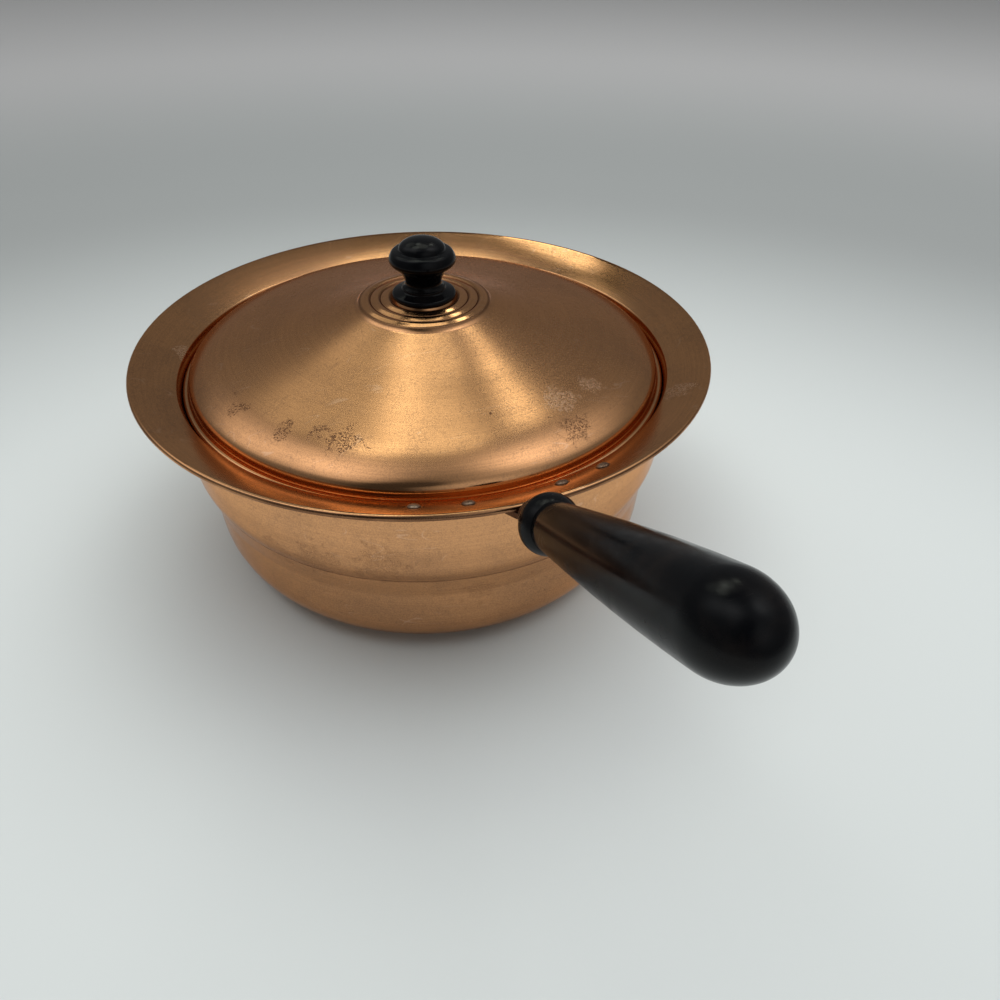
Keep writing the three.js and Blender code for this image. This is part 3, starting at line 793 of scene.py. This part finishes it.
def rim_mask(tree, vector):
    """Uneven darkening on the outside of the rolled rim."""
    radius = flat_radius(tree, vector)
    outside = soft_step(tree, radius, RIM_WIRE.x + 0.7 * MM, RIM_WIRE.x + 1.3 * MM)
    cloud = noise(tree, vector, 25.0, detail=4.0)
    uneven = soft_step(tree, cloud, 0.35, 0.6, to_low=0.25, to_high=0.85)
    return multiply(tree, outside, uneven)


def lining_mask(tree, vector, height):
    """Where the tinned lining is: on faces that look inwards or up, below a height."""
    facing = add(tree, "ShaderNodeTexCoord").outputs["Normal"]
    level = add(tree, "ShaderNodeSeparateXYZ", {0: vector}).outputs[2]
    away = vector_maths(tree, "NORMALIZE", across_axis(tree, vector))
    outward = vector_maths(tree, "DOT_PRODUCT", facing, away)
    inward = multiply(tree, outward, -1.0)
    up = add(tree, "ShaderNodeSeparateXYZ", {0: facing}).outputs[2]
    side = soft_step(tree, maximum(tree, inward, up), 0.2, 0.4)
    edge = noise(tree, vector, 60.0, detail=4.0)
    wavy = multiply_add(tree, edge, 2.0 * MM, height - 1.0 * MM)
    below = maths(tree, "LESS_THAN", level, wavy)
    return multiply(tree, side, below)


def black_material(name, wear, roughness):
    """Glossy black with dust, smears and rubbed places."""
    tints = bpy.context.scene.dish_finishes
    material, tree, shader, vector = new_material(name)
    smears = noise(tree, vector, 90.0, detail=5.0, roughness=0.6, distortion=1.2)
    rubbed = tarnish(tree, vector, scale=60.0, cover=wear, soft=0.15)
    dust = group_mask(tree, "Specks", Vector=vector, Scale=900.0, Size=0.3, Cover=0.45)
    scratches = group_mask(tree, "Scratches", Vector=vector, Scale=90.0, Cover=0.42)
    worn = multiply(tree, rubbed, 0.5)
    base = mix_colour(tree, worn, tints.black, tints.black_worn)
    light = multiply(tree, dust, 0.2)
    base = mix_colour(tree, light, base, tints.dust)
    rough = soft_step(tree, smears, 0.35, 0.7, to_low=roughness, to_high=roughness + 0.1)
    rough = multiply_add(tree, scratches, 0.15, rough)
    rough = multiply_add(tree, light, 0.4, rough)
    relief = noise(tree, vector, 500.0)
    relief = multiply_add(tree, scratches, -0.5, relief)
    set_shader(
        tree, shader, Base_Color=base, Roughness=rough, Metallic=0.0, IOR=1.22,
        Normal=bump(tree, relief, 0.003 * MM),
    )
    return material


def metal_material(name, tint, roughness, dullness):
    """Small hardware: plain metal with tarnish and fine grain."""
    tints = bpy.context.scene.dish_finishes
    material, tree, shader, vector = new_material(name)
    clouds = tarnish(tree, vector, scale=260.0, cover=dullness, soft=0.2)
    grain = noise(tree, vector, 2500.0, detail=3.0)
    amount = multiply_add(tree, grain, 0.3, multiply(tree, clouds, 0.7))
    base = mix_colour(tree, amount, tint, tints.copper_stain_and_shade)
    rough = multiply_add(tree, amount, 0.25, roughness)
    set_shader(
        tree, shader, Base_Color=base, Roughness=rough, Metallic=1.0,
        Normal=bump(tree, grain, 0.01 * MM),
    )
    return material


# Operators

class DISH_OT_finishes(bpy.types.Operator):
    """Builds the shared shader groups and the materials"""

    bl_idname = "dish.finishes"
    bl_label = "Finishes"

    def execute(self, context):
        tints = context.scene.dish_finishes
        build_spun_lines()
        build_tarnish()
        build_specks()
        build_blemish()
        build_scratches()
        pan = context.scene.dish_pan
        copper_material(
            "Pan copper", dullness=0.42, roughness=0.13, grazing=(1, 0.82, 0.69, 1),
            stains=PAN_STAINS, stain_strength=0.45, rubs=PAN_RUBS, pan=pan,
        )
        copper_material(
            "Lid copper", dullness=0.40, roughness=0.23, grazing=(1, 0.8, 0.7, 1),
            stains=LID_STAINS, stain_strength=0.85, rubs=LID_RUBS,
        )
        black_material("Knob black", wear=0.40, roughness=0.11)
        black_material("Handle black", wear=0.42, roughness=0.17)
        metal_material("Rivet metal", tints.pewter, roughness=0.34, dullness=0.5)
        metal_material("Bracket metal", tints.iron, roughness=0.45, dullness=0.5)
        metal_material("Steel", tints.steel, roughness=0.34, dullness=0.4)
        metal_material("Brass", tints.brass, roughness=0.32, dullness=0.4)
        return {"FINISHED"}


class DISH_OT_pan(bpy.types.Operator):
    """Spins the pan, with its flange and its rolled rim"""

    bl_idname = "dish.pan"
    bl_label = "Pan"

    def execute(self, context):
        pan = context.scene.dish_pan
        mouth = pan.mouth_radius
        throat = pan.mouth_height - pan.neck_height
        neck = mouth - throat * math.tan(pan.throat_taper)
        curl_start = FLANGE_SLOPE + QUARTER
        curl = RIM_WIRE + pan.curl_radius * Vector((math.cos(curl_start), math.sin(curl_start)))
        crease = mouth - pan.crease_inset
        floor = pan.sheet / 2
        bm = outline([
            (0, floor, 0),
            (mouth - pan.wall_inset, floor, pan.base_round),
            (mouth - pan.shoulder_inset, pan.shoulder_height, pan.shoulder_round),
            (crease, pan.crease_height, pan.crease_round),
            (mouth + pan.belly_outset, pan.belly_height, pan.belly_round),
            (mouth + pan.belly_outset, pan.belly_top, pan.belly_top_round),
            (neck, pan.neck_height, pan.neck_round),
            (mouth, pan.mouth_height, pan.mouth_round),
            (curl.x, curl.y, 0),
        ])
        curl_end(bm, RIM_WIRE, pan.curl_wrap)
        spin_round(bm, SHEET_STEPS)
        material = bpy.data.materials["Pan copper"]
        piece = add_piece("pan", bm, material, "pan", "pan_copper", "pan_shell")
        thicken(piece, pan.sheet)
        return {"FINISHED"}


class DISH_OT_lid(bpy.types.Operator):
    """Spins the lid, with its stepped rings and its rolled edge"""

    bl_idname = "dish.lid"
    bl_label = "Lid"

    def execute(self, context):
        lid = context.scene.dish_lid

        def on_lid(inset, height):
            return LID_WIRE + Vector((-inset, height))

        ring_round = 2.5 * MM
        groove_round = 0.2 * MM
        seat_level = (
            LID_WIRE.y + lid.ring_foot_height + lid.riser_height + RING_COUNT * lid.ring_drop
        )
        seat_radius = lid.ring_foot_radius - lid.riser_width - RING_COUNT * lid.ring_width
        points = [(lid.hole_radius, seat_level, 0), (seat_radius, seat_level, 0)]
        for i in range(RING_COUNT):
            inner = seat_radius + i * lid.ring_width
            level = seat_level - i * lid.ring_drop
            outer = inner + lid.ring_width
            foot = level - lid.ring_drop
            points += [
                (inner + lid.ring_groove, level + lid.ring_crown, ring_round),
                (outer - lid.ring_groove, foot + lid.ring_lip, ring_round),
                (outer, foot, groove_round),
            ]
        dome = through([
            Vector((lid.ring_foot_radius, LID_WIRE.y + lid.ring_foot_height)),
            on_lid(lid.cone_inset, lid.cone_height),
            on_lid(lid.hollow_inset, lid.hollow_height),
            on_lid(lid.crown_inset, lid.crown_height),
            on_lid(lid.haunch_inset, lid.haunch_height),
            on_lid(lid.foot_inset, lid.foot_height),
        ])
        groove = on_lid(lid.groove_inset, 0)
        radius = LID_WIRE_RADIUS + CLEARANCE + lid.sheet / 2
        start = LID_WIRE + radius * Vector((math.cos(lid.curl_start), math.sin(lid.curl_start)))
        bm = outline(points + plain(dome) + plain([groove, start]))
        curl_end(bm, LID_WIRE, lid.curl_wrap)
        spin_round(bm, SHEET_STEPS)
        material = bpy.data.materials["Lid copper"]
        piece = add_piece("lid", bm, material, "lid", "lid_copper", "lid_shell")
        thicken(piece, lid.sheet)
        return {"FINISHED"}


class DISH_OT_knob(bpy.types.Operator):
    """Turns the knob on the lid"""

    bl_idname = "dish.knob"
    bl_label = "Knob"

    def execute(self, context):
        sizes = context.scene.dish_black
        bore, bore_top = 4.6 * MM, 18 * MM
        foot, foot_height, foot_round = 11.8 * MM, 4.5 * MM, 1 * MM
        bead, bead_round = 11.2 * MM, 0.5 * MM
        bead_bottom, bead_top = 5 * MM, 6.1 * MM
        waist = Vector((10.5, 6.3)) * MM
        flare = Vector((11.8, 14.6)) * MM
        shoulder = Vector((15.6, 24)) * MM
        neck_height, bulb_height, cap_height = 8.8 * MM, 19.4 * MM, 25.2 * MM
        half = sizes.knob_base_thickness / 2
        base = sizes.knob_base_radius
        side = through([
            waist,
            Vector((sizes.knob_neck_radius, neck_height)),
            flare,
            Vector((sizes.knob_bulb_radius, bulb_height)),
            shoulder,
            Vector((sizes.knob_cap_radius, cap_height)),
        ], 8)
        cap = Vector((sizes.knob_cap_radius - sizes.knob_groove, cap_height))
        crown = quarter_ellipse(Vector((0, cap.y)), cap.x, sizes.knob_cap_rise, 16)
        points = [
            (bore, CLEARANCE, 0),
            (base, CLEARANCE, half),
            (base, CLEARANCE + 2 * half, half),
            (foot, foot_height, foot_round),
            (bead, bead_bottom, bead_round),
            (bead, bead_top, bead_round),
            *plain(side),
            *plain([cap]),
            *plain(crown),
            (0, bore_top, 0),
            (bore, bore_top, 0),
        ]
        material = bpy.data.materials["Knob black"]
        place = Matrix.Translation((0, 0, KNOB_SEAT))
        add_turned(
            "knob", points, TURNED_STEPS, material, "lid", "knob_black", "lid_knob", place=place
        )
        return {"FINISHED"}


class DISH_OT_handle(bpy.types.Operator):
    """Turns the collar and the grip"""

    bl_idname = "dish.handle"
    bl_label = "Handle"

    def execute(self, context):
        sizes = context.scene.dish_black
        material = bpy.data.materials["Handle black"]
        self.add_collar(sizes, material)
        self.add_grip(sizes, material)
        return {"FINISHED"}

    def add_collar(self, sizes, material):
        bore = 3.3 * MM
        start = sizes.collar_start
        end = start + sizes.collar_thickness
        crest = Vector((sizes.collar_radius, start + sizes.collar_crest))
        back = Vector((sizes.collar_back, start))
        front = Vector((sizes.collar_front, end))
        back_pull = Vector((sizes.collar_radius, start))
        front_pull = Vector((sizes.collar_radius, (crest.y + end) / 2))
        curve = interpolate_bezier(
            back, back.lerp(back_pull, 2 / 3), crest.lerp(back_pull, 2 / 3), crest, 9
        )[:-1]
        curve += interpolate_bezier(
            crest, crest.lerp(front_pull, 2 / 3), front.lerp(front_pull, 2 / 3), front, 15
        )
        points = [(bore, start, 0), *plain(curve), (bore, end, 0)]
        add_turned(
            "collar", points, TURNED_STEPS, material, "pan", "handle_black", "handle_collar",
            place=handle_place(),
        )

    def add_grip(self, sizes, material):
        bore = 5.5 * MM
        edge = 0.6 * MM
        start = sizes.grip_start
        bore_end = start + 30 * MM
        swell_at = start + sizes.grip_length - sizes.grip_end
        rise = sizes.grip_swell - sizes.grip_root
        steps = 40
        flank = []
        for i in range(steps + 1):
            share = i / steps
            radius = sizes.grip_root + rise * math.sin(share * QUARTER)
            flank.append(Vector((radius, start + edge + (swell_at - start - edge) * share)))
        end = quarter_ellipse(Vector((0, swell_at)), sizes.grip_swell, sizes.grip_end, 24)
        points = [
            (bore, start, 0),
            (sizes.grip_root - edge, start, 0),
            *plain(flank),
            *plain(end),
            (0, bore_end, 0),
            (bore, bore_end, 0),
        ]
        add_turned(
            "grip", points, TURNED_STEPS, material, "pan", "handle_black", "handle_grip",
            place=handle_place(),
        )


class DISH_OT_rivets(bpy.types.Operator):
    """Sets the four rivets in the flange"""

    bl_idname = "dish.rivets"
    bl_label = "Rivets"

    def execute(self, context):
        sizes = context.scene.dish_bracket
        sheet = context.scene.dish_pan.sheet
        seat_gap = 0.02 * MM
        tail_round = 0.6 * MM
        top = sheet / 2 + seat_gap
        bottom = -sheet / 2 - 2 * CLEARANCE - sizes.saddle_thickness
        dome = quarter_ellipse(Vector((0, top)), sizes.head_radius, sizes.head_height, 12)
        points = [
            (0, bottom - sizes.tail_height, 0),
            (sizes.tail_radius, bottom - sizes.tail_height, tail_round),
            (sizes.tail_radius, bottom, 0),
            (sizes.shank_radius, bottom, 0),
            (sizes.shank_radius, top, 0),
            (sizes.head_radius, top, 0),
            *plain(dome),
        ]
        turns = (-sizes.outer_angle, -sizes.inner_angle, sizes.inner_angle, sizes.outer_angle)
        material = bpy.data.materials["Rivet metal"]
        for i, (node, turn) in enumerate(zip(RIVET_NAMES, turns)):
            place = on_flange(sizes.circle_outset, turn)
            add_turned(
                f"rivet_{i + 1}", points, SMALL_STEPS, material, "pan", "rivet_metal", node,
                place=place,
            )
        return {"FINISHED"}


class DISH_OT_hardware(bpy.types.Operator):
    """Gives the bracket, wires, screw, stud, washers and inserts their finishes"""

    bl_idname = "dish.hardware"
    bl_label = "Hardware"

    def execute(self, context):
        for finish, names in HARDWARE.items():
            for name in names:
                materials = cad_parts[name].data.materials
                materials.clear()
                materials.append(bpy.data.materials[finish])
        return {"FINISHED"}


class DISH_OT_stage(bpy.types.Operator):
    """Lays the floor and sets the lights, the room and the camera"""

    bl_idname = "dish.stage"
    bl_label = "Stage"

    def execute(self, context):
        stage = context.scene.dish_stage
        self.add_floor(stage)
        self.add_room(context, stage)
        self.add_lamps(context, stage)
        self.add_camera(context, stage)
        context.scene.view_settings.view_transform = "Standard"
        return {"FINISHED"}

    def add_floor(self, stage):
        bm = bmesh.new()
        bmesh.ops.create_circle(bm, cap_ends=True, segments=TURNED_STEPS, radius=FLOOR_RADIUS)
        mesh = bpy.data.meshes.new("floor")
        bm.to_mesh(mesh)
        bm.free()
        floor = bpy.data.objects.new("floor", mesh)
        bpy.context.scene.collection.objects.link(floor)
        material, tree, shader, vector = new_material("Floor paper")
        away = vector_maths(tree, "DISTANCE", vector, FLOOR_CENTRE)
        # Painted shade: a dark band behind the dish, paling again further off.
        darker = soft_step(tree, away, *FLOOR_DARKENS)
        base = mix_colour(tree, darker, stage.floor, stage.floor_shade)
        base = mix_colour(tree, soft_step(tree, away, *FLOOR_PALES), base, stage.floor_far)
        fibre = noise(tree, vector, 700.0, detail=3.0)
        set_shader(
            tree, shader, Base_Color=base, Roughness=0.75, Normal=bump(tree, fibre, 0.02 * MM)
        )
        mesh.materials.append(material)

    def add_room(self, context, stage):
        world = bpy.data.worlds.new("Room")
        context.scene.world = world
        world.use_nodes = True
        tree = world.node_tree
        vector = add(tree, "ShaderNodeTexCoord").outputs["Generated"]
        level = ROOM_LEVEL
        for glow in GLOWS:
            level = maths(tree, "ADD", level, self.glow(tree, vector, *glow))
        level = maximum(tree, level, ROOM_LEAST)
        background = tree.nodes["Background"]
        background.inputs["Color"].default_value = stage.room
        tree.links.new(level, background.inputs["Strength"])

    def glow(self, tree, vector, heading, rise, sharpness, strength):
        """A round soft light in the room."""
        facing = vector_maths(tree, "DOT_PRODUCT", vector, direction(heading, rise))
        lobe = maths(tree, "POWER", maximum(tree, facing, 0.0), sharpness)
        return multiply(tree, lobe, strength)

    def add_lamp(self, context, name, place, size, power, tint):
        """A round lamp that looks at the dish."""
        data = bpy.data.lights.new(name, "AREA")
        data.shape = "DISK"
        data.size = size
        data.energy = power
        data.color = tint[:3]
        lamp = bpy.data.objects.new(name, data)
        context.scene.collection.objects.link(lamp)
        lamp.location = place
        aim = LAMP_AIM - Vector(place)
        lamp.rotation_euler = aim.to_track_quat("-Z", "Y").to_euler()
        return lamp

    def add_lamps(self, context, stage):
        ceiling = self.add_lamp(
            context, "Ceiling", CEILING_PLACE, CEILING_SIZE, CEILING_POWER, stage.room
        )
        ceiling.visible_glossy = False
        for name, ((heading, rise, distance), radius, brightness) in LAMPS.items():
            place = LAMP_CENTRE + distance * direction(heading, rise)
            # A disk sends out its area times its brightness times pi.
            power = math.pi * math.pi * radius ** 2 * brightness
            self.add_lamp(context, name, place, 2 * radius, power, stage.lamps)

    def add_camera(self, context, stage):
        data = bpy.data.cameras.new("Camera")
        data.lens = stage.lens
        data.sensor_width = 36
        data.clip_start = 0.01
        camera = bpy.data.objects.new("Camera", data)
        context.scene.collection.objects.link(camera)
        rim = Vector((0, 0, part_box("pan_shell")[1].z))
        level = stage.camera_distance * math.cos(stage.camera_height)
        offset = Vector((
            level * math.cos(stage.camera_azimuth),
            level * math.sin(stage.camera_azimuth),
            stage.camera_distance * math.sin(stage.camera_height),
        ))
        aim = (-offset).to_track_quat("-Z", "Y").to_matrix()
        aim = aim @ Matrix.Rotation(stage.camera_pan, 3, "Y")
        aim = aim @ Matrix.Rotation(stage.camera_tilt, 3, "X")
        aim = aim @ Matrix.Rotation(-stage.camera_roll, 3, "Z")
        camera.matrix_world = Matrix.Translation(rim + offset) @ aim.to_4x4()
        context.scene.camera = camera


class DISH_PT_panel(bpy.types.Panel):
    """Lists the steps that build the dish"""

    bl_idname = "DISH_PT_panel"
    bl_label = "Chafing Dish"
    bl_space_type = "VIEW_3D"
    bl_region_type = "UI"
    bl_category = "Dish"

    def draw(self, context):
        for operator in OPERATORS:
            self.layout.operator(operator.bl_idname)


GROUPS = {
    "dish_pan": PanSizes,
    "dish_lid": LidSizes,
    "dish_black": BlackSizes,
    "dish_bracket": BracketSizes,
    "dish_finishes": Finishes,
    "dish_stage": StageSettings,
}
OPERATORS = (
    DISH_OT_finishes, DISH_OT_pan, DISH_OT_lid, DISH_OT_knob, DISH_OT_handle, DISH_OT_rivets,
    DISH_OT_hardware, DISH_OT_stage,
)


def register():
    for name, group in GROUPS.items():
        bpy.utils.register_class(group)
        setattr(bpy.types.Scene, name, PointerProperty(type=group))
    for operator in OPERATORS:
        bpy.utils.register_class(operator)
    bpy.utils.register_class(DISH_PT_panel)


def unregister():
    bpy.utils.unregister_class(DISH_PT_panel)
    for operator in reversed(OPERATORS):
        bpy.utils.unregister_class(operator)
    for name, group in reversed(GROUPS.items()):
        delattr(bpy.types.Scene, name)
        bpy.utils.unregister_class(group)


def main():
    register()
    bpy.ops.dish.finishes()
    bpy.ops.dish.pan()
    bpy.ops.dish.lid()
    bpy.ops.dish.knob()
    bpy.ops.dish.handle()
    bpy.ops.dish.rivets()
    bpy.ops.dish.hardware()
    bpy.ops.dish.stage()


if __name__ == "__main__":
    main()
